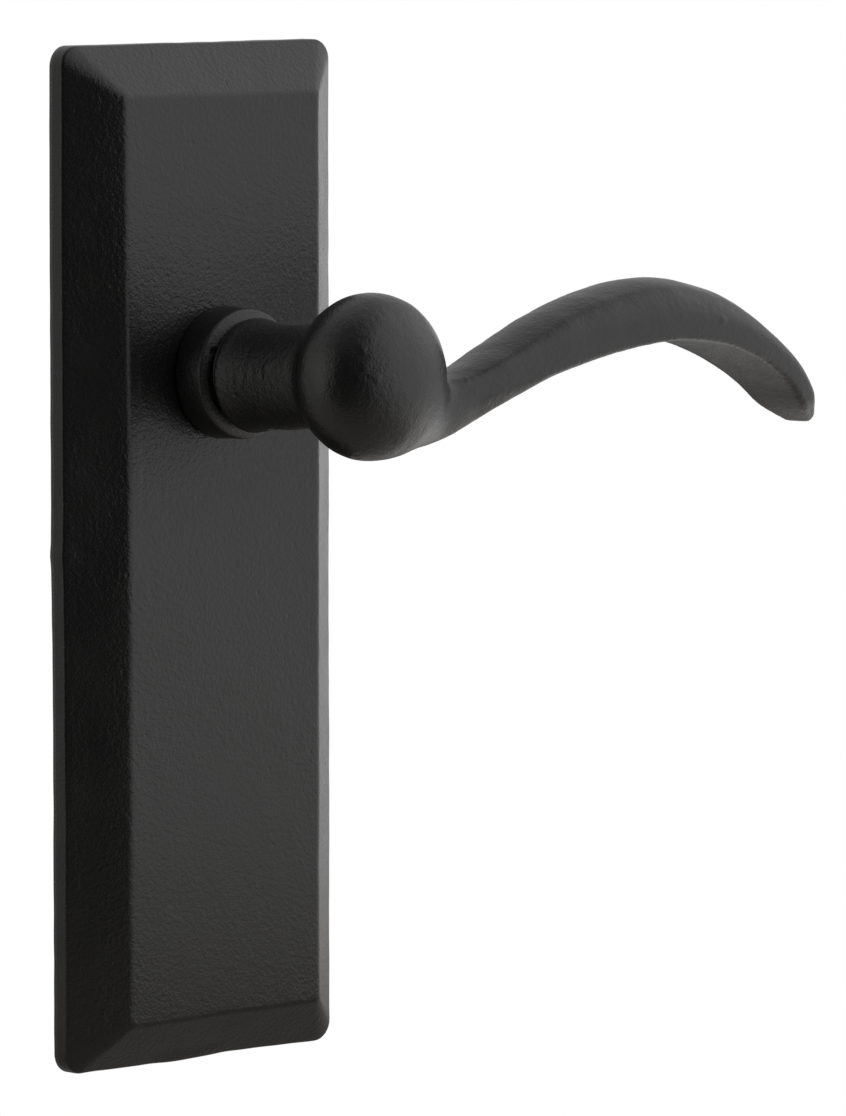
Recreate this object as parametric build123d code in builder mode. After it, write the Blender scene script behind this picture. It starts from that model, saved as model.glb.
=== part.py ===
"""Door lever on a tall bevelled backplate, with its return spring, stops, spindle and fixings.

The frame: the origin is on the spindle's axis, on the face of the door. +Z is up, +X runs towards
the lever's tip, and the front of the door faces -Y. A height is a distance in front of the door
face, so a negative height lies behind it, inside the door. All sizes are in millimetres.
"""

import os
from math import asin, atan2, degrees

from build123d import *

# Backplate
plate_height = 180
plate_width = 64
plate_corner = 3.5
spindle_rise = 32.5
edge_height = 3.1
bevel_width = 8.9
bevel_rise = 6.6
face_corner = 1.0
plate_round = 0.9
plate_wall = 3.6
rim_width = 3.5
cavity_draft = 6.0
cavity_corner = 4.0
boss_rim = 5.0
boss_rise = 3.0

# Collar and bearing
collar_shoulder = 2.5
collar_length = 7.3
collar_taper = 2
collar_round = 1.3
collar_lip = 0.45
collar_base_chamfer = 0.4
spigot_wall = 0.88
bush_wall = 0.75
bush_flange = 0.9
bush_flange_step = 0.9

# Lever: shank, neck and ball; round_pull makes a Bezier quarter follow an ellipse
shank_radius = 7.5
neck_rim_radius = 10.2
neck_rim = 0.6
neck_radius = 9.2
ball_height = 47.2
ball_radius = 14.7
ball_depth = 11.5
ball_fillet = 2.5
neck_flare = (-0.35, -1)
round_pull = 0.5523

# Lever arm, from inside the ball to the tip: X, Z, thickness, width, the share of the thickness that is
# crown, and the rounding of the top and lower edges
arm_stations = [
    (4.0, -7.7, 9.2, 7.0, 0.1, 0.9, 2.6),
    (14.0, -6.1, 10.2, 9.4, 0.1, 0.9, 2.6),
    (22.0, -3.3, 9.2, 10.4, 0.12, 1.0, 2.6),
    (30.0, 0.0, 9.2, 11.8, 0.12, 1.3, 2.4),
    (40.0, 4.1, 10.1, 13.6, 0.17, 2.4, 1.7),
    (54.0, 8.2, 10.8, 16.2, 0.24, 3.6, 1.0),
    (70.0, 9.8, 10.6, 18.6, 0.3, 3.6, 0.8),
    (84.1, 6.7, 9.1, 18.6, 0.32, 2.6, 0.8),
    (94.4, 1.4, 6.9, 17.2, 0.31, 1.7, 0.8),
    (100.7, -3.2, 6.1, 15.4, 0.3, 1.3, 0.8),
    (105.5, -7.7, 5.3, 12.4, 0.29, 1.0, 0.7),
    (108.3, -11.1, 3.6, 6.6, 0.26, 0.7, 0.5),
]
arm_fillet = 3
tip_round = 0.4

# Spindle and its set screw
spindle_side = 8.0
spindle_front = 32
spindle_back = 26
spindle_chamfer = 0.8
set_screw_height = 25
set_screw_radius = 2.5
set_screw_length = 5.0
hex_socket = 2.5
hex_depth = 2.2

# Return mechanism behind the plate
travel = 50
washer_width = 2.05
washer_thickness = 0.8
ring_thickness = 1.0
ring_width = 2.2
ring_gap = 50
ring_eye_inset = 8
ring_lug_radius = 1.7
ring_lug_hole = 0.8
groove_depth = 0.55
wire = 1.3
coil_gap = 0.55
spring_turns = 3.25
spring_pitch = 1.5
spring_leg = 7.5
cam_thickness = 2.0
flat_half = 6.0
stop_pin_radius = 1.5
stop_pin_reach = 3.5
stop_pin_seat = 2.4
drive_pin_radius = 1.1
drive_pin_reach = 3.5
drive_pin_rise = 2.4
housing_sheet = 0.7
housing_bend = 1.4
ear_width = 9.0

# Fixings
fixing_spacing = 38
post_radius = 4.0
post_back = 20
post_thread_radius = 2.5
post_thread_depth = 14
post_stud_radius = 2.0
post_stud_length = 4.5
post_chamfer = 0.6
post_gap = 0.4
ear_screw_radius = 1.5
ear_screw_length = 5.0
ear_screw_head_radius = 2.8
ear_screw_head = 1.7
ear_screw_slot = 0.8
ear_screw_slot_depth = 0.85

# Clearances
running_gap = 0.05
play = 0.1
seat_gap = 0.02
slip_gap = 0.05
stop_gap = 0.15
free_gap = 0.3

# Radii that follow from the sizes above
bush_radius = shank_radius + running_gap + bush_wall
bush_flange_radius = bush_radius + bush_flange_step
spigot_radius = bush_radius + seat_gap + spigot_wall
collar_radius = spigot_radius + collar_shoulder
washer_radius = shank_radius + slip_gap + washer_width
spring_radius = shank_radius + coil_gap + wire / 2
housing_radius = fixing_spacing / 2 - post_radius - post_gap
cam_radius = housing_radius - housing_sheet - 2 * free_gap
boss_radius = fixing_spacing / 2 + boss_rim

# Heights that follow from the sizes above
face_height = edge_height + bevel_rise
floor_height = face_height - plate_wall
boss_height = floor_height - boss_rise
collar_front = face_height + collar_length
bush_front = collar_front + bush_flange
neck_back = bush_front + play
washer_front = floor_height - play
ring_front = washer_front - washer_thickness
ring_back = ring_front - ring_thickness
spring_front = ring_back - free_gap - wire / 2
spring_rise = spring_turns * spring_pitch
spring_end = spring_front - spring_rise
cam_front = spring_end - wire / 2 - free_gap
cam_back = cam_front - cam_thickness
housing_floor = cam_back - free_gap
housing_back = housing_floor - housing_sheet

os.makedirs("parts", exist_ok=True)


def front(height):
    """The plane at a height in front of the door face: local x is +X, local y is +Z."""
    return Plane.XZ.offset(height)


def save(piece, name):
    """Label a finished piece and write it to its own file."""
    piece.part.label = name
    export_step(piece.part, f"parts/{name}.step")


def beside_leg(end, reach, radius):
    """X and Z of a pin that stands outside a leg of the spring, at a reach from that end of the coil."""
    start = coil @ end
    outward = Vector(start.X, 0, start.Z).normalized()
    along = coil % end * (reach if end == 1 else -reach)
    place = start + outward * (wire / 2 + slip_gap + radius) + along
    return place.X, place.Z


# The spring's coil, the pins at its two legs, and the sweep of the stop pin in the cam's notch
coil = Helix(spring_pitch, spring_rise, spring_radius, (0, -spring_front, 0), (0, 1, 0))
stop_pin_place = beside_leg(0, stop_pin_reach, stop_pin_radius)
drive_pin_place = beside_leg(1, drive_pin_reach, drive_pin_radius)
stop_pin_orbit = Vector(*stop_pin_place).length
stop_pin_angle = degrees(atan2(stop_pin_place[1], stop_pin_place[0]))
stop_half_angle = degrees(asin((stop_pin_radius + stop_gap) / stop_pin_orbit))

plate_centre = (0, -spindle_rise)
post_places = [(0, fixing_spacing / 2), (0, -fixing_spacing / 2)]
ear_screw_places = [(fixing_spacing / 2, 0), (-fixing_spacing / 2, 0)]

# Backplate: an upright edge, a wide bevel up to the face, and a hollow back with a round boss
with BuildPart() as backplate:
    with BuildSketch(front(0)):
        with Locations(plate_centre):
            RectangleRounded(plate_width, plate_height, plate_corner)
    extrude(amount=edge_height)
    with BuildSketch(front(edge_height)):
        with Locations(plate_centre):
            RectangleRounded(plate_width, plate_height, plate_corner)
    with BuildSketch(front(face_height)):
        with Locations(plate_centre):
            RectangleRounded(plate_width - 2 * bevel_width, plate_height - 2 * bevel_width, face_corner)
    loft(ruled=True)
    face_edges = backplate.faces().sort_by(Axis.Y)[0].edges()
    rim_edges = backplate.edges().filter_by_position(Axis.Y, -edge_height, -edge_height)
    fillet(face_edges + rim_edges, plate_round)
    with BuildSketch(front(0)):
        with Locations(plate_centre):
            RectangleRounded(plate_width - 2 * rim_width, plate_height - 2 * rim_width, cavity_corner)
    with BuildSketch(front(floor_height)):
        with Locations(plate_centre):
            inset = rim_width + cavity_draft
            RectangleRounded(plate_width - 2 * inset, plate_height - 2 * inset, cavity_corner)
    loft(ruled=True, mode=Mode.SUBTRACT)
    with BuildSketch(front(boss_height)):
        Circle(boss_radius)
        Circle(housing_radius - housing_sheet - free_gap, mode=Mode.SUBTRACT)
    extrude(amount=boss_rise)
    with BuildSketch(front(floor_height)):
        Circle(spigot_radius + seat_gap)
    extrude(amount=plate_wall, mode=Mode.SUBTRACT)
    with BuildSketch(front(floor_height)):
        with Locations(stop_pin_place):
            Circle(stop_pin_radius + seat_gap)
    extrude(amount=stop_pin_seat, mode=Mode.SUBTRACT)
    with BuildSketch(front(boss_height)):
        with Locations(*post_places):
            Circle(post_stud_radius + seat_gap)
    extrude(amount=post_stud_length + free_gap, mode=Mode.SUBTRACT)
    with BuildSketch(front(boss_height)):
        with Locations(*ear_screw_places):
            Circle(ear_screw_radius + seat_gap)
    extrude(amount=ear_screw_length, mode=Mode.SUBTRACT)
save(backplate, "backplate")

# Collar: a turned ring on the plate's face, with a spigot pressed through the plate
with BuildPart() as rose_collar:
    with BuildSketch(front(face_height)):
        Circle(collar_radius)
    extrude(amount=collar_length + collar_lip, taper=collar_taper)
    fillet(rose_collar.faces().sort_by(Axis.Y)[0].edges(), collar_round)
    chamfer(rose_collar.faces().sort_by(Axis.Y)[-1].edges(), collar_base_chamfer)
    with BuildSketch(front(floor_height)):
        Circle(spigot_radius)
    extrude(amount=plate_wall)
    with BuildSketch(front(floor_height)):
        Circle(bush_radius + seat_gap)
    extrude(amount=plate_wall + collar_length, mode=Mode.SUBTRACT)
    with BuildSketch(front(collar_front)):
        Circle(bush_flange_radius + free_gap)
    extrude(amount=collar_lip, mode=Mode.SUBTRACT)
save(rose_collar, "rose_collar")

# Bearing bush: a flanged sleeve inside the collar
with BuildPart() as shank_bush:
    with BuildSketch(front(floor_height)):
        Circle(bush_radius)
    extrude(amount=plate_wall + collar_length)
    with BuildSketch(front(collar_front)):
        Circle(bush_flange_radius)
    extrude(amount=bush_flange)
    with BuildSketch(front(floor_height)):
        Circle(shank_radius + running_gap)
    extrude(amount=bush_front - floor_height, mode=Mode.SUBTRACT)
save(shank_bush, "shank_bush")

# Lever: shank, neck and ball are turned about the spindle's axis, and the arm is lofted from the ball
with BuildPart() as lever_handle:
    neck_front = neck_back + neck_rim
    ball_meet = ball_height - ball_depth * (1 - (neck_radius / ball_radius) ** 2) ** 0.5
    with BuildSketch():
        with BuildLine():
            Polyline(
                (neck_radius, -ball_meet),
                (neck_radius, -ball_height),
                (0, -ball_height),
                (0, -cam_back),
                (shank_radius, -cam_back),
                (shank_radius, -neck_back),
                (neck_rim_radius, -neck_back),
                (neck_rim_radius, -neck_front),
            )
            Spline(
                (neck_rim_radius, -neck_front),
                (neck_radius, -ball_meet),
                tangents=(neck_flare, (0, -1)),
            )
        make_face()
    revolve(axis=Axis.Y)
    with BuildSketch():
        with BuildLine():
            pull_out = round_pull * ball_radius
            pull_along = round_pull * ball_depth
            ball_front = -ball_height - ball_depth
            ball_back = -ball_height + ball_depth
            Bezier(
                (0, ball_front),
                (pull_out, ball_front),
                (ball_radius, -ball_height - pull_along),
                (ball_radius, -ball_height),
            )
            Bezier(
                (ball_radius, -ball_height),
                (ball_radius, -ball_height + pull_along),
                (pull_out, ball_back),
                (0, ball_back),
            )
            Line((0, ball_back), (0, ball_front))
        make_face()
    revolve(axis=Axis.Y)
    neck_circle = lever_handle.edges().sort_by_distance((0, -ball_meet, neck_radius))[0]
    fillet(neck_circle, ball_fillet)
    with BuildLine(front(ball_height), mode=Mode.PRIVATE):
        arm_line = Spline(*[(x, z) for x, z, *_ in arm_stations])
    for x, z, thickness, width, crown, top_round, under_round in arm_stations:
        centre = Vector(x, -ball_height, z)
        across = Plane(centre, x_dir=(0, 1, 0), z_dir=arm_line.tangent_at(centre))
        shoulder = thickness * (0.5 - crown)
        with BuildSketch(across) as section:
            with BuildLine():
                Polyline(
                    (-width / 2, shoulder),
                    (-width / 2, -thickness / 2),
                    (width / 2, -thickness / 2),
                    (width / 2, shoulder),
                )
                ThreePointArc((width / 2, shoulder), (0, thickness / 2), (-width / 2, shoulder))
            make_face()
            fillet(section.vertices().group_by(Axis.Y)[0], under_round)
            fillet(section.vertices().group_by(Axis.Y)[-1], top_round)
    loft()
    fillet(lever_handle.edges(Select.NEW), arm_fillet)
    tip_face = lever_handle.faces().sort_by_distance(arm_line @ 1)[0]
    fillet(tip_face.edges(), tip_round)
    with BuildSketch(front(cam_back)):
        Rectangle(spindle_side + 2 * slip_gap, spindle_side + 2 * slip_gap)
    extrude(amount=spindle_front + play - cam_back, mode=Mode.SUBTRACT)
    with BuildSketch(front(cam_back)):
        Circle(shank_radius + play)
        Rectangle(2 * flat_half, 2 * (shank_radius + free_gap), mode=Mode.SUBTRACT)
    extrude(amount=cam_thickness, mode=Mode.SUBTRACT)
    with BuildSketch(front(ring_back - slip_gap)):
        Circle(shank_radius + play)
        Circle(shank_radius - groove_depth, mode=Mode.SUBTRACT)
    extrude(amount=ring_thickness + slip_gap, mode=Mode.SUBTRACT)
    with BuildSketch(Plane.XY):
        with Locations((0, -set_screw_height)):
            Circle(set_screw_radius + seat_gap)
    extrude(amount=-ball_radius, mode=Mode.SUBTRACT)
save(lever_handle, "lever_handle")

# Spindle: a square bar in the lever's socket, long enough to reach the latch in the door
with BuildPart() as spindle:
    with BuildSketch(front(-spindle_back)):
        Rectangle(spindle_side, spindle_side)
    extrude(amount=spindle_back + spindle_front)
    chamfer(spindle.faces().sort_by(Axis.Y)[-1].edges(), spindle_chamfer)
save(spindle, "spindle")

# Set screw: a socket grub screw from below the neck, with its tip on the spindle
with BuildPart() as set_screw:
    with BuildSketch(Plane.XY.offset(-spindle_side / 2)):
        with Locations((0, -set_screw_height)):
            Circle(set_screw_radius)
    extrude(amount=-set_screw_length)
    with BuildSketch(Plane.XY.offset(-spindle_side / 2 - set_screw_length)):
        with Locations((0, -set_screw_height)):
            RegularPolygon(hex_socket / 2, 6, major_radius=False)
    extrude(amount=hex_depth, mode=Mode.SUBTRACT)
save(set_screw, "set_screw")

# Thrust washer: turns with the lever against the back of the plate
with BuildPart() as thrust_washer:
    with BuildSketch(front(ring_front)):
        Circle(washer_radius)
        Circle(shank_radius + slip_gap, mode=Mode.SUBTRACT)
    extrude(amount=washer_thickness)
save(thrust_washer, "thrust_washer")

# Retaining ring: an open snap ring in the shank's groove, with an eye at each end
with BuildPart() as retaining_ring:
    ring_inner = shank_radius - groove_depth + seat_gap
    lug_orbit = ring_inner + ring_lug_radius + ring_lug_hole
    with BuildSketch(front(ring_back)):
        Circle(ring_inner + ring_width)
        with Locations(Rotation(0, 0, -90 - ring_gap / 2), Rotation(0, 0, -90 + ring_gap / 2)):
            with Locations((lug_orbit, 0)):
                Circle(ring_lug_radius)
        Circle(ring_inner, mode=Mode.SUBTRACT)
        with BuildLine():
            opening = PolarLine((0, 0), 2 * lug_orbit, -90 - ring_gap / 2 + ring_eye_inset)
            closing = PolarLine((0, 0), 2 * lug_orbit, -90 + ring_gap / 2 - ring_eye_inset)
            Line(opening @ 1, closing @ 1)
        make_face(mode=Mode.SUBTRACT)
        with Locations(Rotation(0, 0, -90 - ring_gap / 2), Rotation(0, 0, -90 + ring_gap / 2)):
            with Locations((lug_orbit, 0)):
                Circle(ring_lug_hole, mode=Mode.SUBTRACT)
    extrude(amount=ring_thickness)
save(retaining_ring, "retaining_ring")

# Return spring: a close coil of square wire around the shank, with a straight leg at each end
with BuildPart() as return_spring:
    with BuildLine() as wire_line:
        add(coil)
        Line(coil @ 0 - coil % 0 * spring_leg, coil @ 0)
        Line(coil @ 1, coil @ 1 + coil % 1 * spring_leg)
    with BuildSketch(Plane(coil @ 0 - coil % 0 * spring_leg, x_dir=(1, 0, 0), z_dir=coil % 0)):
        Rectangle(wire, wire)
    sweep(path=wire_line.wire(), is_frenet=True)
save(return_spring, "return_spring")

# Stop cam: a steel disc keyed on the shank's flats, with a notch as wide as the travel
with BuildPart() as stop_cam:
    with BuildSketch(front(cam_back)):
        Circle(cam_radius)
        with BuildSketch(mode=Mode.PRIVATE) as keyed_hole:
            Circle(shank_radius + slip_gap)
            Rectangle(2 * (flat_half + slip_gap), 2 * (shank_radius + free_gap), mode=Mode.INTERSECT)
        add(keyed_hole.sketch, mode=Mode.SUBTRACT)
        with Locations(drive_pin_place):
            Circle(drive_pin_radius + seat_gap, mode=Mode.SUBTRACT)
        with BuildLine():
            notch_inner = stop_pin_orbit - stop_pin_radius - free_gap
            notch_outer = cam_radius + stop_pin_radius
            low_side = stop_pin_angle - stop_half_angle
            wide = travel + 2 * stop_half_angle
            inner_arc = CenterArc((0, 0), notch_inner, low_side, wide)
            outer_arc = CenterArc((0, 0), notch_outer, low_side, wide)
            Line(inner_arc @ 0, outer_arc @ 0)
            Line(inner_arc @ 1, outer_arc @ 1)
        make_face(mode=Mode.SUBTRACT)
    extrude(amount=cam_thickness)
save(stop_cam, "stop_cam")

# Stop pin: pressed into the plate and steadied in the housing's end wall
with BuildPart() as stop_pin:
    with BuildSketch(front(housing_back)):
        with Locations(stop_pin_place):
            Circle(stop_pin_radius)
    extrude(amount=floor_height + stop_pin_seat - housing_back)
save(stop_pin, "stop_pin")

# Drive pin: riveted in the cam, it carries the spring's moving leg
with BuildPart() as drive_pin:
    with BuildSketch(front(cam_back)):
        with Locations(drive_pin_place):
            Circle(drive_pin_radius)
    extrude(amount=cam_thickness + drive_pin_rise)
save(drive_pin, "drive_pin")

# Spring housing: a pressed cup over the mechanism, with an ear at each side
with BuildPart() as spring_housing:
    with BuildSketch(front(housing_back)):
        Circle(housing_radius)
    extrude(amount=boss_height - housing_back)
    fillet(spring_housing.faces().sort_by(Axis.Y)[-1].edges(), housing_bend)
    with BuildSketch(front(boss_height - housing_sheet)):
        SlotOverall(fixing_spacing + ear_width, ear_width)
    extrude(amount=housing_sheet)
    with BuildSketch(front(housing_floor)):
        Circle(housing_radius - housing_sheet)
    extrude(amount=boss_height - housing_floor, mode=Mode.SUBTRACT)
    with BuildSketch(front(housing_back)):
        Circle(spindle_side / 2 * 2**0.5 + free_gap)
        with Locations(stop_pin_place):
            Circle(stop_pin_radius + seat_gap)
    extrude(amount=housing_sheet, mode=Mode.SUBTRACT)
    with BuildSketch(front(boss_height - housing_sheet)):
        with Locations(*ear_screw_places):
            Circle(ear_screw_radius + play)
    extrude(amount=housing_sheet, mode=Mode.SUBTRACT)
save(spring_housing, "spring_housing")

# Housing screws: slotted cheese heads in the boss
with BuildPart() as housing_screws:
    ear_back = boss_height - housing_sheet
    with BuildSketch(front(ear_back)):
        with Locations(*ear_screw_places):
            Circle(ear_screw_head_radius)
    extrude(amount=-ear_screw_head)
    with BuildSketch(front(ear_back)):
        with Locations(*ear_screw_places):
            Circle(ear_screw_radius)
    extrude(amount=housing_sheet + ear_screw_length - free_gap)
    with BuildSketch(front(ear_back - ear_screw_head)):
        with Locations(*ear_screw_places):
            Rectangle(2 * (ear_screw_head_radius + play), ear_screw_slot)
    extrude(amount=ear_screw_slot_depth, mode=Mode.SUBTRACT)
save(housing_screws, "housing_screws")

# Mounting posts: round posts screwed into the boss, threaded from the back for the through bolts
with BuildPart() as mounting_posts:
    with BuildSketch(front(-post_back)):
        with Locations(*post_places):
            Circle(post_radius)
    extrude(amount=post_back + boss_height)
    chamfer(mounting_posts.faces().group_by(Axis.Y)[-1].edges(), post_chamfer)
    with BuildSketch(front(boss_height)):
        with Locations(*post_places):
            Circle(post_stud_radius)
    extrude(amount=post_stud_length)
    with BuildSketch(front(-post_back)):
        with Locations(*post_places):
            Circle(post_thread_radius)
    extrude(amount=post_thread_depth, mode=Mode.SUBTRACT)
save(mounting_posts, "mounting_posts")
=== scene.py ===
import math

import bpy
import numpy as np
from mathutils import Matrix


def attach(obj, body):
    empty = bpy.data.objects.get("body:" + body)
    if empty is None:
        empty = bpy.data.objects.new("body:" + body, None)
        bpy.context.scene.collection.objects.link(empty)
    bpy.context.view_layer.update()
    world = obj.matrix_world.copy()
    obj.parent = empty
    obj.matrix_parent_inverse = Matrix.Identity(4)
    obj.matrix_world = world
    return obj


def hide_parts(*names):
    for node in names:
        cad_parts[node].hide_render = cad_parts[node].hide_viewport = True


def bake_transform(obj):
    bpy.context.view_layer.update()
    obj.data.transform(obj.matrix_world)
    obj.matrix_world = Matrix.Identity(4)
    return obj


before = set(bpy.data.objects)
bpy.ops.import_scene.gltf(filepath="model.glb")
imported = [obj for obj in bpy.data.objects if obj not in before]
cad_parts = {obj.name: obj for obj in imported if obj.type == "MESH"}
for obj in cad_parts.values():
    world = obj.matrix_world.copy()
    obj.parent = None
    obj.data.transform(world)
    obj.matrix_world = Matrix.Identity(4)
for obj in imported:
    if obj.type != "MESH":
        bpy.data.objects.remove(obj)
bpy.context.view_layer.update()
mm = 0.001

# Backplate: one sand casting in iron under a satin black coat. In front it has an upright edge, a wide
# bevel and a flat face; behind, a hollow with a round boss that carries the works. Its arrises wander a
# little, with a small burr at the left and a lip below, as the mould left them.
plate_half = np.array([32.2, 90.0])
plate_middle = np.array([0.0, -32.5])
plate_corner, least_corner, corner_taper = 3.6, 0.5, 0.3
edge_height, face_height = 3.1, 9.7
bevel_width, face_margin = 8.9, 2.6
arris_round, edge_round = 0.7, 0.45
rim_width, hollow_draft, hollow_depth = 3.5, 6.0, 6.1
boss_radius, boss_well, boss_depth, boss_foot = 24.0, 13.6, 3.1, 4.4
bore_radius, bore_lip = 9.22, 0.3


def cast_wave(points, length, seed, waves=40):
    """Smooth random relief of about unit size: a sum of cosine waves near that length, all ways round."""
    chance = np.random.default_rng(seed)
    ways = chance.normal(size=(waves, 3))
    ways *= (chance.uniform(0.6, 1.5, waves) / np.linalg.norm(ways, axis=1))[:, None]
    phase = chance.uniform(0, 2 * np.pi, waves)
    return np.cos(points @ ways.T * (2 * np.pi / length) + phase).sum(axis=-1) / waves**0.5


def rising(values, low, high):
    """How far values are on the way from low to high, as a share from 0 to 1."""
    return np.clip((values - low) / (high - low), 0, 1)


def from_axis(points):
    """Distance of points from the spindle's axis."""
    return np.hypot(points[..., 0], points[..., 2])


def eased(corners, reach, steps=6):
    """A polyline whose inner corners are quadratic curves that start and end at a reach from the corner."""
    corners = np.array(corners, float)
    reaches = np.broadcast_to(reach, len(corners) - 2)
    t = np.linspace(0, 1, steps)[:, None]
    runs = [corners[:1]]
    for before, here, after, cut in zip(corners, corners[1:], corners[2:], reaches):
        start = here + (before - here) * min(0.45, cut / np.linalg.norm(before - here))
        end = here + (after - here) * min(0.45, cut / np.linalg.norm(after - here))
        runs.append((1 - t) ** 2 * start + 2 * t * (1 - t) * here + t**2 * end)
    runs.append(corners[-1:])
    return np.concatenate(runs)


def divided(line, step):
    """The same polyline with points added so that none of its runs is longer than a step."""
    runs = np.linalg.norm(np.diff(line, axis=0), axis=1)
    shares = [np.arange(n) / n for n in np.ceil(runs / step).astype(int)]
    at = np.concatenate([i + s for i, s in enumerate(shares)] + [[len(line) - 1.0]])
    return np.stack([np.interp(at, np.arange(len(line)), line[:, k]) for k in range(line.shape[1])], -1)


def laid_grid(name, *grids, wrap=(True, True), capped=False):
    """A mesh from grids of points in millimetres: rows, columns, XYZ.

    Rows or columns that wrap are closed into a ring, and capped puts a face on the first and the last row.
    """
    points, faces, first = [], [], 0
    for grid in grids:
        rows, columns = grid.shape[:2]
        index = first + np.arange(rows * columns).reshape(rows, columns)
        faces += [index[0, ::-1].tolist(), index[-1].tolist()] if capped else []
        index = np.concatenate([index, index[:1]]) if wrap[0] else index
        index = np.concatenate([index, index[:, :1]], axis=1) if wrap[1] else index
        quads = np.stack([index[:-1, :-1], index[:-1, 1:], index[1:, 1:], index[1:, :-1]], axis=-1)
        faces += quads.reshape(-1, 4).tolist()
        points.append(grid.reshape(-1, 3))
        first += rows * columns
    mesh = bpy.data.meshes.new(name)
    mesh.from_pydata((np.concatenate(points) * mm).tolist(), [], faces)
    mesh.shade_smooth()
    piece = bpy.data.objects.new(name, mesh)
    bpy.context.scene.collection.objects.link(piece)
    return piece


# The plate's outline, as a mix of its four corners and a direction of the corner's round at each point
corner_signs = np.array([(1, 1), (-1, 1), (-1, -1), (1, -1), (1, 1)], float)
corner_points, side_points = 9, (56, 150, 56, 150)
corner_turn = np.linspace(0, np.pi / 2, corner_points)
mixes, turns = [], []
for k, count in enumerate(side_points):
    along = np.linspace(0, 1, count + 2)[1:-1, None]
    mixes += [np.repeat(corner_signs[k : k + 1], corner_points, axis=0)]
    mixes += [corner_signs[k] * (1 - along) + corner_signs[k + 1] * along]
    turns += [corner_turn + k * np.pi / 2, np.full(count, (k + 1) * np.pi / 2)]
mix = np.concatenate(mixes)
turn = np.concatenate(turns)
way = np.stack([np.cos(turn), np.sin(turn)], axis=-1)


def outline(inset, corner):
    """Rounded rectangles round the plate's middle: one row for each inset and corner radius, as X and Z."""
    half = plate_half - np.asarray(inset, float)[:, None, None]
    radius = np.asarray(corner, float)[:, None, None]
    return plate_middle + mix * (half - radius) + way * radius


# Front: the face runs from the bore to the bevel, then the bevel and the upright edge drop to the door
front = [(bevel_width + face_margin, face_height), (bevel_width, face_height), (0, edge_height), (0, 0)]
front = divided(eased(front, (arris_round, edge_round), 8), 1.1)
front_rows = outline(front[:, 0], np.clip(plate_corner - corner_taper * front[:, 0], least_corner, None))
bearing = np.arctan2(front_rows[0, :, 1], front_rows[0, :, 0])
spoke = np.stack([np.cos(bearing), np.sin(bearing)], axis=-1)
face_share = np.linspace(0, 1, 46)[:-1, None, None]
face_rows = spoke * bore_radius * (1 - face_share) + front_rows[0] * face_share

# Back: the rim, the sloping wall and the floor of the hollow, kept outside the boss
back = divided(np.array([(0.0, 0.0), (rim_width, 0), (rim_width + hollow_draft, 0)]), 0.9)[1:, 0]
back_rows = outline(back, np.full(len(back), plate_corner))
floor_share = np.linspace(0, 1, 24)[1:, None, None]
floor_rows = back_rows[-1] * (1 - floor_share) + spoke * boss_radius * floor_share
hollow_rows = np.concatenate([back_rows, floor_rows])
far_out = np.linalg.norm(hollow_rows, axis=-1, keepdims=True)
hollow_rows = hollow_rows * np.maximum(1, boss_radius / far_out)
inset = (plate_half - np.abs(hollow_rows - plate_middle)).min(axis=-1)
hollow_height = hollow_depth * rising(inset, rim_width, rim_width + hollow_draft)

# Boss, well and bore: circles about the spindle's axis, as a profile of radius and height
boss = eased(
    [
        (boss_radius, boss_foot),
        (boss_radius, boss_depth),
        (boss_well, boss_depth),
        (boss_well, hollow_depth),
        (bore_radius, hollow_depth),
        (bore_radius, face_height - bore_lip),
    ],
    0.5,
    4,
)
boss = divided(boss, 1.4)
boss_rows = spoke * boss[:, :1, None]


def at_height(rows, height):
    """Points X, Y, Z from rows of X and Z and a height in front of the door for each row or each point."""
    height = np.broadcast_to(np.reshape(height, (len(rows), -1)), rows.shape[:2])
    return np.stack([rows[..., 0], -height, rows[..., 1]], axis=-1)


plate_grid = np.concatenate(
    [
        at_height(face_rows, np.full(len(face_rows), face_height)),
        at_height(front_rows, front[:, 1]),
        at_height(hollow_rows, hollow_height),
        at_height(boss_rows, boss[:, 1]),
    ]
)
across, height, tall = plate_grid[..., 0], -plate_grid[..., 1], plate_grid[..., 2]

# As cast: waves that leave the seats round the bore alone, the burr at the left and the lip below
sway, ripple, face_ripple = 0.05, 0.03, 0.012
burr_size, burr_level, burr_reach, burr_side = 0.25, -31.6, 1.5, -30.6
lip_size, lip_place, lip_reach, lip_side = 0.3, -2.5, 7.0, -121.0
loose = rising(from_axis(plate_grid), 25, 33)
loose[: len(face_rows)] = rising(from_axis(plate_grid[: len(face_rows)]), 13, 21)
lifted = rising(height, 0, 2) * loose
burr = np.exp(-(((tall - burr_level) / burr_reach) ** 2)) * (across < burr_side)
lip = np.exp(-(((across - lip_place) / lip_reach) ** 4)) * (tall < lip_side)
drift = np.stack(
    [
        sway * cast_wave(plate_grid, 34, 1) + ripple * cast_wave(plate_grid, 9, 2) - burr_size * burr,
        sway * cast_wave(plate_grid, 40, 3) + face_ripple * cast_wave(plate_grid, 7, 4),
        sway * cast_wave(plate_grid, 34, 5) + ripple * cast_wave(plate_grid, 9, 6) - lip_size * lip,
    ],
    axis=-1,
)

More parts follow.
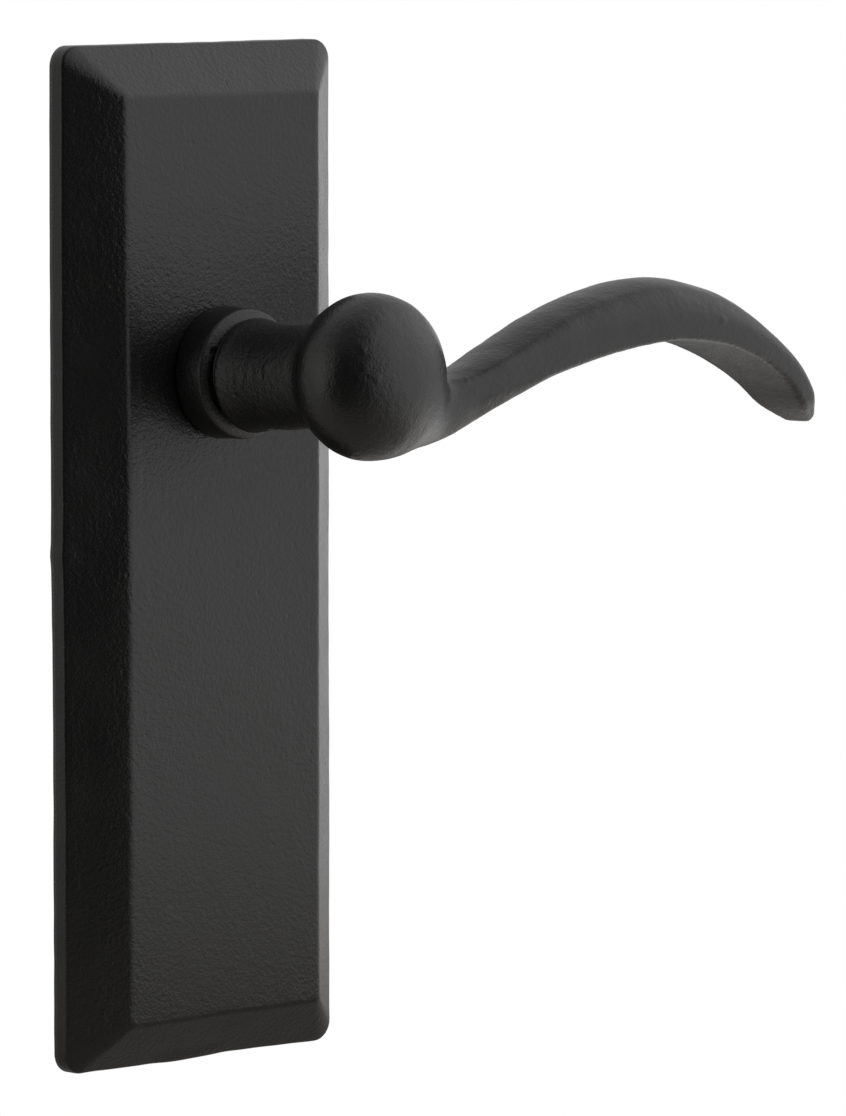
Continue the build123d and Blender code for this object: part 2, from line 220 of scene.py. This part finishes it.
# Out of true: the left bevel is wider and the bottom one narrower, and the lower left corner hangs a little
left_gain, bottom_loss, left_tuck, corner_hang = 1.15, 0.85, 0.4, 0.6
rise = rising(height, edge_height, face_height)
rise[len(face_rows) + len(front_rows) :] = 0
wider = left_gain * rise * rising(-across, 13, 22) * np.interp(tall, [-15, 45], [1, 0.2])
narrower = bottom_loss * rise * rising(-tall, 85, 110) * np.interp(across, [8, 26], [1, 0.5])
tucked = left_tuck * rising(-across, 20, 30) * np.interp(tall, [-60, -30], [1, 0])
hanging = corner_hang * rising(-tall, 100, 118) * np.interp(across, [-14, 2], [1, 0])
plate_grid = plate_grid + drift * np.stack([loose, lifted, loose], axis=-1)
plate_grid = plate_grid + np.stack([wider + tucked, 0 * rise, -narrower - hanging], axis=-1)
backplate = laid_grid("backplate_casting", plate_grid[::-1])


def put(node, values):
    """Set each input of a node to its value, or link its socket there."""
    for key, value in values.items():
        if isinstance(value, Socket):
            value.tree.links.new(value.output, node.inputs[key])
        else:
            node.inputs[key].default_value = value


class Socket:
    """One output in a material's nodes: operators on it add Math nodes, and node() adds any other node."""

    def __init__(self, tree, output=None):
        self.tree = tree
        self.output = output

    def node(self, kind, settings, inputs, output=0):
        """Add a node of a kind: its settings first, then a value or a link for each input."""
        made = self.tree.nodes.new("ShaderNode" + kind)
        for setting, value in settings.items():
            setattr(made, setting, value)
        put(made, inputs)
        return Socket(self.tree, made.outputs[output])

    def maths(self, operation, first, second):
        """Add a Math node on two values or sockets."""
        return self.node("Math", {"operation": operation}, {0: first, 1: second})

    def __add__(self, other):
        return self.maths("ADD", self, other)

    def __radd__(self, other):
        return self.maths("ADD", other, self)

    def __sub__(self, other):
        return self.maths("SUBTRACT", self, other)

    def __rsub__(self, other):
        return self.maths("SUBTRACT", other, self)

    def __mul__(self, other):
        return self.maths("MULTIPLY", self, other)

    def __rmul__(self, other):
        return self.maths("MULTIPLY", other, self)

    def noise(self, place, size, detail):
        """Soft random value from 0 to 1, with features of that size in millimetres."""
        inputs = {"Vector": place, "Scale": 1 / (size * mm), "Detail": detail}
        return self.node("TexNoise", {}, inputs)

    def distance(self, place, centre):
        """How far a place is from a centre given in millimetres, in metres."""
        ends = {0: place, 1: np.array(centre) * mm}
        return self.node("VectorMath", {"operation": "DISTANCE"}, ends, output="Value")

    def ramp(self, low, high):
        """This value stretched so that low becomes 0 and high becomes 1, with soft ends."""
        settings = {"interpolation_type": "SMOOTHSTEP"}
        return self.node("MapRange", settings, {"Value": self, "From Min": low, "From Max": high})

    def blend(self, first, second):
        """A colour between two, by this value."""
        return self.node("Mix", {"data_type": "RGBA"}, {0: self, 6: first, 7: second}, output=2)


def new_material(name):
    """An empty material, its Principled shader, and a socket to start expressions from."""
    material = bpy.data.materials.new(name)
    material.use_nodes = True
    tree = material.node_tree
    return material, tree.nodes["Principled BSDF"], Socket(tree)


cloud_size, grit_size, pit_spacing = 14, 0.4, 4.5
coat_dark, coat_pale = (0.0045, 0.0045, 0.0045, 1), (0.006, 0.0058, 0.0056, 1)


def black_iron(name, peel_size, depth, ior, spots, calm=0.0, dull=0.0):
    """Satin black coat on sand-cast iron: a coarse peel, fine grit, pits, and cloudy changes of sheen.

    Round each spot, given by its place, an inner and an outer radius in millimetres, the relief loses the
    share calm and the roughness gains dull.
    """
    material, shader, start = new_material(name)
    place = start.node("TexCoord", {}, {}, output="Object")
    cloud = start.noise(place, cloud_size, 3)
    peel = start.noise(place, peel_size, 2)
    grit = start.noise(place, grit_size, 2)
    cell = start.node("TexVoronoi", {}, {"Vector": place, "Scale": 1 / (pit_spacing * mm)})
    pit = 1 - cell.ramp(0.03, 0.13)
    near = 0.0
    for centre, inner, outer in spots:
        near = near + (1 - start.distance(place, centre).ramp(inner * mm, outer * mm))
    relief = (peel + 0.7 * grit - 0.5 * pit) * (1 - calm * near)
    bump = start.node("Bump", {}, {"Strength": 1.0, "Distance": depth * mm, "Height": relief})
    put(
        shader,
        {
            "Base Color": cloud.ramp(0.3, 0.7).blend(coat_dark, coat_pale),
            "Roughness": 0.24 + dull * near + 0.1 * cloud + 0.08 * grit,
            "IOR": ior,
            "Normal": bump,
        },
    )
    return material


# Calmer skin low on the face, left of the collar, and all along the left bevel, as a very large sphere
calm_spots = [
    ((2, -9.7, -92), 18, 34),
    ((-18, -9.7, 0), 8, 20),
    ((-1030, -5, -32), 1003, 1008),
]
plate_coat = black_iron("black_coat_plate", 0.9, 0.12, 1.48, calm_spots, calm=0.45)
backplate.data.materials.append(plate_coat)
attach(backplate, "plate")
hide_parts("backplate")

# Collar: a turned iron ring under the same coat. Its spigot is pressed through the plate, its foot has a
# small chamfer that shadows the joint, and its front is a shallow cone, broken away left of the bore.
collar_bore, spigot_radius, spigot_end, collar_foot = 8.32, 9.2, 6.1, 9.72
collar_profile = [
    (collar_bore, spigot_end),
    (spigot_radius, spigot_end),
    (spigot_radius, collar_foot),
    (11.3, collar_foot),
    (11.7, 10.1),
    (11.45, 16.0),
    (9.95, 16.48),
    (9.82, 16.52),
    (collar_bore, 17.0),
    (collar_bore, spigot_end),
]
collar_rounds = (0.2, 0.2, 0.2, 0.3, 0.5, 0.03, 0.03, 0.15)
collar_sag, collar_wave = 0.45, 0.05
slot_depth, slot_radius, slot_bottom = 0.35, 9.88, 16.2


def turned(profile, columns=144):
    """Points of a profile of radius and height, revolved about the spindle's axis."""
    angle = np.linspace(0, 2 * np.pi, columns, endpoint=False)
    radius, height = profile[:, 0][:, None], profile[:, 1][:, None]
    return np.stack([radius * np.cos(angle), -height + 0 * angle, radius * np.sin(angle)], axis=-1)


collar_grid = turned(divided(eased(collar_profile, collar_rounds, 7), 0.8)[:-1])
worn = rising(from_axis(collar_grid), 9.3, 10.8)
outward = collar_grid * [1, 0, 1] / from_axis(collar_grid)[..., None]
collar_grid = collar_grid + (worn * collar_wave * cast_wave(collar_grid, 7, 11))[..., None] * outward
collar_grid[..., 2] -= collar_sag * rising(-collar_grid[..., 1], collar_foot, collar_foot + 0.4) * worn
broken = np.interp(collar_grid[..., 2], [-6.4, -5.4, 3.6, 4.6], [0, 1, 1, 0]) * (collar_grid[..., 0] < 0)
broken *= (from_axis(collar_grid) < slot_radius) * (-collar_grid[..., 1] > slot_bottom)
collar_grid[..., 1] += slot_depth * broken
collar = laid_grid("collar_ring", collar_grid)
collar_coat = black_iron("black_coat_collar", 0.9, 0.1, 1.5, [((0, -13, 0), 20, 30)], dull=0.12)
collar.data.materials.append(collar_coat)
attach(collar, "plate")
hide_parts("rose_collar")

# Lever: one iron casting of shank, neck, flattened ball and S-curved arm. The arm leaves the ball with a
# crisp ridge on top that fades as the arm broadens, and its tip dips like a leaf. The casting is slightly
# bent: its neck sits a little low and its ball a little high.
shank_radius, shank_back, shank_front = 7.5, -4.575, 18.0
groove_radius, groove_back, groove_front = 6.95, 4.15, 5.2
flat_half, flat_end = 6.0, 2.5
neck_start, neck_radius, neck_rim_radius, neck_flare = 18.6, 9.2, 10.2, 19.6
ball_radius, ball_depth, ball_height = 14.7, 11.5, 47.2
seam_fill, seam_reach = 0.65, 2.6
neck_sag, ball_lift = 0.65, 0.45
shank = eased(
    [
        (0, shank_back),
        (shank_radius, shank_back),
        (shank_radius, groove_back),
        (groove_radius, groove_back),
        (groove_radius, groove_front),
        (shank_radius, groove_front),
        (shank_radius, shank_front),
        (neck_rim_radius, shank_front),
        (neck_rim_radius, neck_start),
    ],
    0.25,
    4,
)
heights = ball_height + ball_depth * np.sin(np.linspace(-np.pi / 2, np.pi / 2, 140))
heights = np.concatenate([np.linspace(neck_start, ball_height - ball_depth, 40)[:-1], heights])
flare = np.clip(1 - (heights - neck_start) / neck_flare, 0, 1) ** 6
neck = neck_radius + (neck_rim_radius - neck_radius) * flare
neck = np.where(heights < ball_height, neck, 0)
ball = ball_radius * np.sqrt(np.clip(1 - ((heights - ball_height) / ball_depth) ** 2, 0, 1))
seam = np.clip(1 - np.abs(neck - ball) / seam_reach, 0, 1) * (heights < ball_height)
neck_and_ball = np.stack([np.maximum(neck, ball) + seam_fill * seam**2, heights], axis=-1)
turned_grid = turned(np.concatenate([shank, neck_and_ball]))
bend = np.interp(-turned_grid[..., 1], [17.9, 18.1, 27, 40], [0, -neck_sag, -neck_sag, ball_lift])
turned_grid[..., 2] += bend
keyed = turned_grid[..., 1] > flat_end
sideways = turned_grid[..., 0]
turned_grid[..., 0] = np.where(keyed, np.clip(sideways, -flat_half, flat_half), sideways)

# Arm stations from inside the ball to the tip: X, Z, thickness, width, the share of the thickness that is
# crown, and the round of the top and of the underside
arm_stations = np.array(
    [
        (4.0, -7.7, 9.2, 7.0, 0.1, 0.9, 2.6),
        (14.0, -6.45, 10.4, 9.4, 0.1, 0.9, 1.6),
        (22.0, -3.6, 9.4, 10.4, 0.12, 1.0, 1.3),
        (30.0, -0.2, 8.7, 11.8, 0.12, 1.3, 1.3),
        (40.0, 4.1, 9.2, 13.6, 0.17, 2.4, 1.5),
        (54.0, 8.2, 10.0, 16.2, 0.22, 3.6, 1.1),
        (70.0, 9.8, 10.6, 18.6, 0.3, 3.6, 0.8),
        (84.1, 6.7, 9.1, 18.6, 0.32, 2.6, 0.8),
        (94.4, 1.4, 6.9, 17.2, 0.31, 1.7, 1.1),
        (100.7, -3.2, 6.1, 15.4, 0.3, 1.3, 1.5),
        (105.2, -7.9, 5.2, 12.4, 0.29, 1.0, 1.5),
        (108.2, -11.0, 3.3, 6.8, 0.26, 0.7, 0.9),
    ]
)
body_rows, tip_rows, round_points = 260, 8, 7
facet_slant, arm_roll, tip_length = 0.5, 4.5, 1.2


def smooth_through(places, values, at):
    """Cubic curve through values at their places, with each slope taken from the two neighbours."""
    slopes = np.gradient(values, places, axis=0)
    k = np.clip(np.searchsorted(places, at, side="right") - 1, 0, len(places) - 2)
    run = (places[k + 1] - places[k])[:, None]
    t = ((at - places[k]) / run[:, 0])[:, None]
    start, end = values[k] * (1 + 2 * t) * (1 - t) ** 2, values[k + 1] * (3 - 2 * t) * t**2
    return start + end + run * (slopes[k] * t * (1 - t) ** 2 - slopes[k + 1] * t**2 * (1 - t))


def filled_in(rings, parts=10):
    """Rows of values round a section, with each run between neighbours cut into equal parts."""
    share = np.linspace(0, 1, parts + 1)[:-1]
    following = np.roll(rings, -1, axis=1)
    return (rings[..., None] * (1 - share) + following[..., None] * share).reshape(len(rings), -1)


travelled = np.concatenate([[0], np.cumsum(np.hypot(*np.diff(arm_stations[:, :2], axis=0).T))])
along_arm = np.concatenate([np.linspace(0, travelled[-1], body_rows), np.full(tip_rows, travelled[-1])])
arm_rows = smooth_through(travelled, arm_stations, along_arm)
arm_x, arm_z, thickness, width, crown, top_round, under_round = arm_rows.T
slope = smooth_through(travelled, np.gradient(arm_stations[:, :2], travelled, axis=0), along_arm)
slope /= np.linalg.norm(slope, axis=1, keepdims=True)
tip_turn = np.concatenate([np.zeros(body_rows), np.linspace(0, np.pi / 2, tip_rows + 1)[1:]])

# Each section: a rectangle with rounded corners, a crown on top, and a slanted facet low in front near the
# ball. The rising half is rolled a little towards the front, and the tip closes as a quarter ellipse.
section_turn = np.concatenate([np.linspace(0, 90, round_points) + 90 * k for k in range(4)]) * np.pi / 180
section_signs = np.repeat(corner_signs[:4], round_points, axis=0)
corner_round = np.where(section_signs[:, 1] > 0, top_round[:, None], under_round[:, None])
half_width, half_thick, crown = (width / 2)[:, None], (thickness / 2)[:, None], crown[:, None]
shoulder = half_thick * np.where(section_signs[:, 1] > 0, 1 - 2 * crown, 1)
across = section_signs[:, 0] * (half_width - corner_round) + corner_round * np.cos(section_turn)
upward = section_signs[:, 1] * (shoulder - corner_round) + corner_round * np.sin(section_turn)
across, upward = filled_in(across), filled_in(upward)
lift = np.clip((upward / half_thick + 1) / (2 - 2 * crown), 0, 1)
upward = upward + 2 * crown * half_thick * (1 - (across / half_width) ** 2) * lift
facet = np.interp(arm_x, [10, 18, 22, 26, 33, 38, 44], [4.2, 4.2, 3.6, 2.9, 1.8, 1.1, 0])[:, None]
across = across + facet_slant * np.clip(facet - half_thick - upward, 0, None) * (across < 0)
roll = np.radians(np.interp(arm_x, [12, 34, 56, 84], [0, arm_roll, arm_roll, 0]))[:, None]
across, upward = (
    across * np.cos(roll) - upward * np.sin(roll),
    upward * np.cos(roll) + across * np.sin(roll),
)
across, upward = across * np.cos(tip_turn)[:, None], upward * np.cos(tip_turn)[:, None]
reach = tip_length * np.sin(tip_turn)
arm_grid = np.stack(
    [
        (arm_x + slope[:, 0] * reach)[:, None] - slope[:, 1:] * upward,
        -ball_height + across,
        (arm_z + slope[:, 1] * reach)[:, None] + slope[:, :1] * upward,
    ],
    axis=-1,
)
lever = laid_grid("lever_casting", turned_grid, arm_grid, wrap=(False, True))


def settled(piece):
    """Make what a piece's modifiers give its own mesh, and return that mesh."""
    result = bpy.data.meshes.new_from_object(piece.evaluated_get(bpy.context.evaluated_depsgraph_get()))
    piece.modifiers.clear()
    piece.data = result
    result.shade_smooth()
    return result


def remeshed(piece, voxel):
    """Fuse a piece's shells into one skin of even quads, of about a voxel's size in millimetres."""
    remesh = piece.modifiers.new("fuse", "REMESH")
    remesh.mode = "VOXEL"
    remesh.voxel_size = voxel * mm
    return settled(piece)


def drilled(piece, middle, radius, length):
    """Cut an upright round hole into a piece; all in millimetres."""
    place = tuple(c * mm for c in middle)
    bpy.ops.mesh.primitive_cylinder_add(vertices=64, radius=radius * mm, depth=length * mm, location=place)
    drill = bpy.context.object
    hole = piece.modifiers.new("drill", "BOOLEAN")
    hole.operation = "DIFFERENCE"
    hole.solver = "EXACT"
    hole.object = drill
    skin = settled(piece)
    bpy.data.objects.remove(drill)
    skin.set_sharp_from_angle(angle=math.radians(50))
    return skin


def relaxed(points, edges, weight, rounds):
    """Each point moved towards the mean of its neighbours by its weight, round after round."""
    count = np.bincount(edges.ravel(), minlength=len(points))[:, None]
    for _ in range(rounds):
        total = np.zeros_like(points)
        np.add.at(total, edges[:, 0], points[edges[:, 1]])
        np.add.at(total, edges[:, 1], points[edges[:, 0]])
        points = points + weight * (total / count - points)
    return points


def mesh_array(items, key, width, kind=float):
    """One value of every vertex or edge of a mesh, as an array."""
    values = np.zeros(len(items) * width, kind)
    items.foreach_get(key, values)
    return values.reshape(-1, width)


# One skin, filled and melted along the seam of ball and arm where that lies low
fillet_reach, fillet_fill, melt_reach, melt_weight, ridge_melt = 8.5, 0.25, 4.5, 0.7, 0.03
skin = remeshed(lever, 0.42)
points = mesh_array(skin.vertices, "co", 3) / mm
edges = mesh_array(skin.edges, "vertices", 2, int)
points = relaxed(points, edges, 0.5, 3)
in_ball = np.sqrt(
    (arm_grid[..., 0] ** 2 + arm_grid[..., 2] ** 2) / ball_radius**2
    + ((arm_grid[..., 1] + ball_height) / ball_depth) ** 2
)
joint = arm_grid[np.abs(in_ball - 1) < 0.03]
close = np.abs(points - [12, -ball_height, -5]).max(axis=1) < 16
gap = np.linalg.norm(points[close][:, None] - joint[None, ::3], axis=-1).min(axis=1)
low = rising(-points[close, 2], 0, 3.5)
fill = fillet_fill * fillet_reach * low * np.clip(1 - gap / fillet_reach, 0, 1) ** 2
points[close] += mesh_array(skin.vertices, "normal", 3)[close] * fill[:, None]
melt = melt_weight * np.exp(-((gap / melt_reach) ** 2)) * np.maximum(low, ridge_melt)
number = np.cumsum(close) - 1
near_edges = number[edges[close[edges].all(axis=1)]]
points[close] = relaxed(points[close], near_edges, melt[:, None], 200)
skin.vertices.foreach_set("co", (points * mm).ravel())
skin.update()

# As cast: waves of three lengths, and raised specks given by their place and height
specks = np.array(
    [
        (78.3, -56.5, 7.4, 0.3),
        (-9.0, -30.4, 1.5, 0.16),
        (-9.3, -23.3, -0.6, 0.16),
        (-9.3, -55.1, 6.0, 0.1),
        (-9.3, -55.9, 3.0, 0.1),
        (-7.8, -56.9, 1.0, 0.1),
    ]
)
speck_radius = 0.7
normals = mesh_array(skin.vertices, "normal", 3)
rough = 0.05 * cast_wave(points, 16, 21) + 0.03 * cast_wave(points, 6, 22)
rough = rough + 0.008 * cast_wave(points, 2.2, 23)
rough = rough * np.interp(-points[:, 1], [18.2, 20, 34, 40], [0, 0.5, 0.5, 1])
beside = np.linalg.norm(points[:, None] - specks[:, :3], axis=-1) / speck_radius
rough = rough + (specks[:, 3] * np.exp(-(beside**2))).sum(axis=1)
skin.vertices.foreach_set("co", ((points + normals * rough[:, None]) * mm).ravel())
skin.update()

# The set screw's hole in the underside of the neck, which ends inside the screw
screw_hole_middle, screw_hole_radius, screw_hole_length = (0, -25, -9.6), 2.56, 8
skin = drilled(lever, screw_hole_middle, screw_hole_radius, screw_hole_length)
skin.materials.clear()

# Rougher skin round the neck and along the arm's lower front edge near the ball
rough_spots = [
    ((0, -28, 0), 13, 17),
    ((18, -52, -9.5), 2, 5.5),
    ((26, -52, -6.5), 2, 5.5),
    ((34, -53, -3), 1, 4.5),
]
skin.materials.append(black_iron("black_coat_lever", 1.1, 0.1, 1.52, rough_spots, calm=-0.6, dull=0.1))
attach(lever, "lever")
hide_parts("lever_handle")


# Bush: a flanged nylon sleeve pressed into the collar, in which the lever's shank turns. It is plain black,
# with faint turning marks round its axis.
def turned_plastic(name, colour):
    """Black nylon with rings from the lathe tool along the spindle's axis."""
    material, shader, start = new_material(name)
    place = start.node("TexCoord", {}, {}, output="Object")
    stretched = start.node("Mapping", {}, {"Vector": place, "Scale": (40, 6000, 40)})
    rings = start.node("TexNoise", {}, {"Vector": stretched, "Scale": 1.0, "Detail": 2.0})
    bump = start.node("Bump", {}, {"Strength": 0.6, "Distance": 0.02 * mm, "Height": rings})
    put(shader, {"Base Color": colour, "Roughness": 0.42 + 0.15 * rings, "Normal": bump})
    return material


def dress(material, *nodes):
    """Give CAD nodes a material in place of their plain one."""
    for node in nodes:
        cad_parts[node].data.materials.clear()
        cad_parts[node].data.materials.append(material)


dress(turned_plastic("black_nylon", (0.018, 0.018, 0.019, 1)), "shank_bush")


# Spindle, pins, cam and washer: plain steel, drawn or stamped, with fine marks along the drawing direction
# and a film of oil that dulls it in patches.
def drawn_steel(name, tone, sheen, marks):
    """Bare steel: fine lines stretched by the marks' scale, and cloudy patches of sheen."""
    material, shader, start = new_material(name)
    place = start.node("TexCoord", {}, {}, output="Object")
    stretched = start.node("Mapping", {}, {"Vector": place, "Scale": marks})
    lines = start.node("TexNoise", {}, {"Vector": stretched, "Scale": 1.0, "Detail": 3.0})
    cloud = start.noise(place, 5, 3)
    dull = tuple(0.72 * c for c in tone)
    bump = start.node("Bump", {}, {"Strength": 0.5, "Distance": 0.015 * mm, "Height": lines})
    put(
        shader,
        {
            "Base Color": cloud.ramp(0.25, 0.75).blend((*dull, 1), (*tone, 1)),
            "Roughness": sheen + 0.12 * lines + 0.12 * cloud,
            "Metallic": 1.0,
            "Normal": bump,
        },
    )
    return material


bar_steel = drawn_steel("bright_steel_bar", (0.46, 0.46, 0.47), 0.2, (3500, 60, 3500))
dress(bar_steel, "spindle", "stop_pin", "drive_pin")
sheet_steel = drawn_steel("bright_steel_sheet", (0.43, 0.43, 0.44), 0.24, (900, 3000, 900))
dress(sheet_steel, "stop_cam", "thrust_washer")

# Housing, posts and screws: zinc-plated steel, blue-white and a little mottled. The housing is a pressed
# cup held by the two screws, and the posts stand in the plate's back for the through bolts.
zinc = drawn_steel("zinc_plate", (0.52, 0.53, 0.55), 0.26, (700, 700, 700))
dress(zinc, "spring_housing", "mounting_posts", "housing_screws")

# Retaining ring and set screw: blackened steel. The ring snaps into the shank's groove, and the screw
# clamps the spindle from below the neck.
dress(drawn_steel("spring_steel_ring", (0.2, 0.19, 0.18), 0.24, (1500, 1500, 1500)), "retaining_ring")
dress(drawn_steel("black_oxide", (0.05, 0.05, 0.052), 0.3, (1200, 1200, 1200)), "set_screw")

# Return spring: square spring wire, coiled round the shank, with a straight leg at each end. One leg bears
# on the plate's stop pin and the other on the lever's drive pin, so the coil winds as the lever turns.
coil_radius, coil_turns, coil_front, coil_rise, coil_points = 8.7, 3.25, 3.25, 4.875, 200
wire, wire_round, leg = 1.3, 0.35, 7.5
wind = np.linspace(np.pi / 2, np.pi / 2 - 2 * np.pi * coil_turns, coil_points)
coil_depth = np.linspace(-coil_front, coil_rise - coil_front, coil_points)
coil_line = np.stack([coil_radius * np.cos(wind), coil_depth, coil_radius * np.sin(wind)], axis=-1)
lead_in, lead_out = coil_line[0] - coil_line[1], coil_line[-1] - coil_line[-2]
lead_in, lead_out = leg * lead_in / np.linalg.norm(lead_in), leg * lead_out / np.linalg.norm(lead_out)
wire_line = np.concatenate([coil_line[:1] + lead_in, coil_line, coil_line[-1:] + lead_out])
radial = np.stack([np.cos(wind), 0 * wind, np.sin(wind)], axis=-1)
radial = np.concatenate([radial[:1], radial, radial[-1:]])
square = eased([(-1, 0), (-1, 1), (1, 1), (1, -1), (-1, -1), (-1, 0)], wire_round, 4)[:-1] * wire / 2
spring_grid = wire_line[:, None] + radial[:, None] * square[:, :1] + np.array([0, 1.0, 0]) * square[:, 1:]
spring = laid_grid("return_spring_coil", spring_grid, wrap=(False, True), capped=True)
spring.data.materials.append(drawn_steel("spring_steel_wire", (0.2, 0.19, 0.18), 0.22, (900, 900, 900)))
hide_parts("return_spring")
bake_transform(spring)


# Studio: surroundings as the ball mirrors them, with a wide soft light on the right, a weaker one on the
# left, a dark gap where the camera stands, and a dim warm ground. The camera itself sees plain white.
def studio(start, toward, extra=0.0):
    """Light of the surroundings in a direction, as a colour: lobes of light added, then lobes of shade."""

    def lobe(azimuth, elevation, inner, outer):
        """1 within an inner angle of a direction, falling softly to 0 at an outer one; all in degrees."""
        turn, rise = math.radians(azimuth), math.radians(elevation)
        way = (math.sin(turn) * math.cos(rise), -math.cos(turn) * math.cos(rise), math.sin(rise))
        facing = start.node("VectorMath", {"operation": "DOT_PRODUCT"}, {0: toward, 1: way}, output="Value")
        return facing.ramp(math.cos(math.radians(outer)), math.cos(math.radians(inner)))

    level = 0.4 + extra + 0.86 * lobe(43, 16, 26, 66) + 0.55 * lobe(-100, 6, 10, 34)
    level = level + 0.27 * lobe(160, 38, 32, 78) + 0.8 * lobe(119, -7, 6, 19) + 0.1 * lobe(72, -42, 10, 36)
    level = level + 0.14 * lobe(134, -38, 8, 24)
    level = level * (1 - 0.9 * lobe(-50, 0, 27, 48)) * (1 - 0.5 * lobe(-60, 48, 10, 45))
    level = level * (1 - 0.2 * lobe(-35, -50, 15, 40)) * (1 - 0.08 * lobe(40, -5, 10, 26))
    level = level * (1 - 0.2 * lobe(70, -4, 6, 26)) * (1 - 0.7 * lobe(136, -16, 5, 18))
    seen = start.node("LightPath", {}, {}, output="Is Camera Ray")
    warm = (1 - seen) * (0.3 * lobe(-118, 6, 20, 70) + lobe(0, -90, 30, 75))
    tint = warm.blend((1, 1, 1, 1), (1, 0.94, 0.87, 1))
    level = level + seen * (1 - level)
    return start.node("VectorMath", {"operation": "SCALE"}, {0: tint, "Scale": level})


sky = bpy.data.worlds.new("studio_sky")
sky.use_nodes = True
bpy.context.scene.world = sky
start = Socket(sky.node_tree)
toward = start.node("TexCoord", {}, {}, output="Generated")
put(sky.node_tree.nodes["Background"], {"Color": studio(start, toward)})

# Floor: a plain table that the plate stands on. Its surface glows with painted light: the same surroundings
# as the ball sees them below it, with a painted pool of light to the right of the arm's tip and a painted
# shadow at the plate's foot.
floor_reach, floor_level = 6000.0, -123.3
# Middles and strengths of the painted pool of light and of the painted shadow at the plate's foot
light_pool_middle, light_pool_gain = (260, -30, floor_level), 0.75
foot_shadow_middle, foot_shadow_loss = (0, -5, floor_level), 0.1
floor_corners = np.array([[(-1, -1, 0), (1, -1, 0)], [(-1, 1, 0), (1, 1, 0)]]) * floor_reach
table = laid_grid("table", floor_corners + [0, 0, floor_level], wrap=(False, False))
table_paint, plain_shader, start = new_material("glowing_table")
place = start.node("NewGeometry", {}, {}, output="Position")
toward = start.node("VectorMath", {"operation": "SUBTRACT"}, {0: place, 1: (0, -ball_height * mm, 0)})
toward = start.node("VectorMath", {"operation": "NORMALIZE"}, {0: toward})
# Painted pool of light right of the arm's tip and painted shadow at the plate's foot, added to the table's
# glow
pool = start.distance(place, light_pool_middle).ramp(50 * mm, 170 * mm)
foot = start.distance(place, foot_shadow_middle).ramp(30 * mm, 90 * mm)
extra = light_pool_gain - foot_shadow_loss - light_pool_gain * pool + foot_shadow_loss * foot
# The table glows as a light source with this painted light; it is no lamp
glow = start.node("Emission", {}, {"Color": studio(start, toward, extra)})
clear = start.node("BsdfTransparent", {}, {})
behind = start.node("NewGeometry", {}, {}, output="Backfacing")
paint = start.node("MixShader", {}, {0: behind, 1: glow, 2: clear})
start.tree.links.new(paint.output, start.tree.nodes["Material Output"].inputs["Surface"])
start.tree.nodes.remove(plain_shader)
table.data.materials.append(table_paint)

# Camera: a long lens from the photograph's side, to the left of the plate and a little above it, placed by
# the plate's four corners.
azimuth, elevation, camera_distance = math.radians(-44.21), math.radians(4.713), 1.7767
look_at = np.array([58.7, 0.0, -37.3]) * mm
back_way = np.array(
    [
        math.sin(azimuth) * math.cos(elevation),
        -math.cos(azimuth) * math.cos(elevation),
        math.sin(elevation),
    ]
)
camera = bpy.data.objects.new("camera", bpy.data.cameras.new("camera"))
bpy.context.scene.collection.objects.link(camera)
bpy.context.scene.camera = camera
camera.location = look_at + camera_distance * back_way
camera.rotation_euler = (math.pi / 2 - elevation, 0, azimuth)
camera.data.lens = 315.6
camera.data.sensor_width = 36.0
camera.data.clip_end = 50.0
bpy.context.scene.view_settings.view_transform = "Standard"
